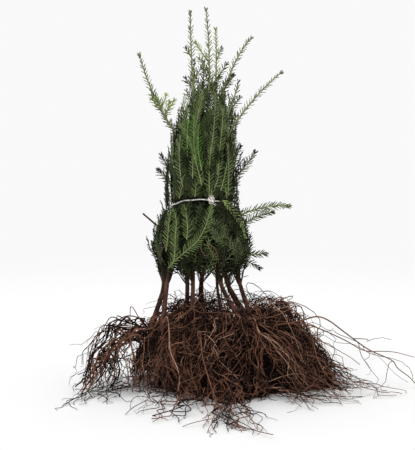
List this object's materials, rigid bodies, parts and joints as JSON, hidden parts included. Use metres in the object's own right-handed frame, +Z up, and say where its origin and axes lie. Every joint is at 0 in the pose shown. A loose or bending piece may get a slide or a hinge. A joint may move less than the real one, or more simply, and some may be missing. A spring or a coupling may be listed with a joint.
{
  "type": "tied sheaf of yew saplings with root ball",
  "caption": "Sheaf of young yew saplings tied round the waist with twine, dense needled crown with long leader shoots, standing on a wide tangled root ball.",
  "frame": {"origin": "A point on the flat underside of the root ball, below the stems. Z = 0 is the level that the sheaf stands on.", "axes": "+Z up along the stems, +X to the right and -Y to the front, where the twine's knot is."},
  "size_m": [0.7161, 0.6697, 0.7633],
  "materials": {
    "bark": "reddish brown young bark, thin and flaking, matt",
    "needles_dark": "dark green needles, faint waxy sheen",
    "needles_fresh": "young light green needles, faint waxy sheen",
    "roots": "washed roots, reddish to dark brown with tan strands, matt",
    "twine": "white twisted twine, fibrous"
  },
  "bodies": {
    "root": {"cut_twig_left": "bark", "foliage_lower_front_left": "needles_dark", "foliage_lower_front_right": "needles_dark", "foliage_lower_left": "needles_dark", "foliage_lower_rear_left": "needles_dark", "foliage_lower_rear_right": "needles_dark", "foliage_lower_right": "needles_dark", "foliage_upper_front_left": "needles_dark", "foliage_upper_front_right": "needles_dark", "foliage_upper_rear_left": "needles_dark", "foliage_upper_rear_right": "needles_dark", "leader_arching_right": "needles_fresh", "leader_dark_left": "needles_fresh", "leader_dark_middle": "needles_fresh", "leader_edge_right": "needles_fresh", "leader_far_left": "needles_fresh", "leader_far_right": "needles_fresh", "leader_right_of_middle": "needles_fresh", "leader_short_right": "needles_fresh", "leader_tallest": "needles_fresh", "leader_upright_left": "needles_fresh", "root_ball": "roots", "root_mass_front": "roots", "root_mass_front_left": "roots", "root_mass_front_right": "roots", "root_mass_left": "roots", "root_mass_rear": "roots", "root_mass_rear_left": "roots", "root_mass_rear_right": "roots", "root_mass_right": "roots", "side_shoot_left_high": "needles_fresh", "side_shoot_left_second": "needles_fresh", "side_shoot_rear_high": "needles_fresh", "side_shoot_rear_low": "needles_fresh", "side_shoot_right_high": "needles_fresh", "side_shoot_right_level": "needles_fresh", "side_shoot_right_low": "needles_fresh", "side_shoot_right_lowest": "needles_fresh", "side_shoot_right_second": "needles_fresh", "side_shoot_right_under": "needles_fresh", "stem_left_inner": "bark", "stem_left_outer": "bark", "stem_mid_front": "bark", "stem_mid_rear": "bark", "stem_rear": "bark", "stem_right_front": "bark", "stem_right_outer": "bark", "stem_right_rear": "bark", "stem_thin": "bark", "twine_tie": "twine"}
  },
  "joints": []
}
